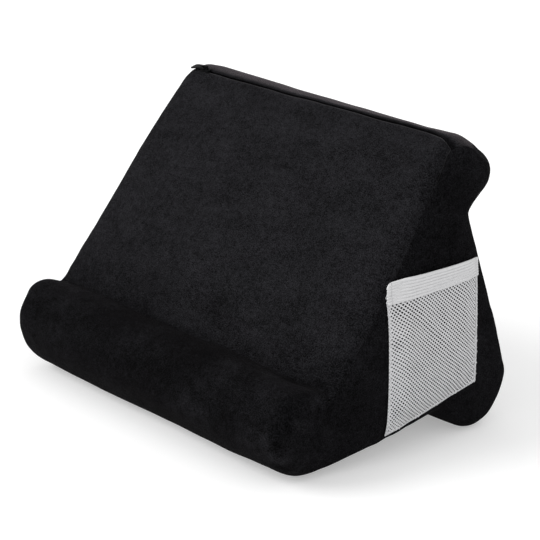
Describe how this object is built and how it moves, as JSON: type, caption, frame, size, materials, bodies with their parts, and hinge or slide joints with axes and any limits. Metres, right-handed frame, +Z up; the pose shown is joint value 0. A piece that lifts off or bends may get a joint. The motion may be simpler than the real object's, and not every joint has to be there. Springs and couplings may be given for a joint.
{
  "type": "laptop pillow stand",
  "caption": "Foam wedge pillow that props a laptop, tablet or book, with a ledge along its front, a zipped plush cover and a net pocket on its right end.",
  "frame": {"origin": "on the floor, under the middle of the part's box", "axes": "+X to the user's right along the pillow, +Y from the front ledge to the rear, +Z up"},
  "size_m": [0.3128, 0.2046, 0.2064],
  "materials": {
    "plush": "short black plush with a soft sheen at grazing angles",
    "foam": "open cell polyurethane foam, off white",
    "zipper_tape": "black woven polyester tape",
    "zipper_coil": "black nylon coil",
    "zipper_metal": "dark lacquered zinc alloy",
    "net": "light grey polyester net",
    "elastic": "white woven elastic with lengthwise ribs"
  },
  "bodies": {
    "pillow": {"foam_core": "foam", "front_panel": "plush", "front_lip_panel": "plush", "rear_panel": "plush", "top_lip_panel": "plush", "end_panel_left": "plush", "end_panel_right": "plush", "zipper_tape_front": "zipper_tape", "zipper_tape_rear": "zipper_tape", "zipper_coil_front": "zipper_coil", "zipper_coil_rear": "zipper_coil", "zipper_top_stop_front": "zipper_metal", "zipper_top_stop_rear": "zipper_metal", "zipper_bottom_stop": "zipper_metal", "pocket_net": "net", "pocket_elastic_band": "elastic", "pocket_side_hem_front": "net", "pocket_side_hem_rear": "net", "pocket_bottom_hem": "net"},
    "slider": {"zipper_slider": "zipper_metal"},
    "pull_tab": {"zipper_pull_tab": "zipper_metal"}
  },
  "joints": [
    {"name": "zip_slide", "type": "slide", "parent": "pillow", "child": "slider", "axis": [1, 0, 0], "range_m": [0, 0.234]},
    {"name": "pull_tab_hinge", "type": "hinge", "parent": "slider", "child": "pull_tab", "pos_m": [-0.1203, 0.05074, 0.20447], "axis": [0, 0.961, 0.2767], "range_deg": [0, 180]}
  ]
}
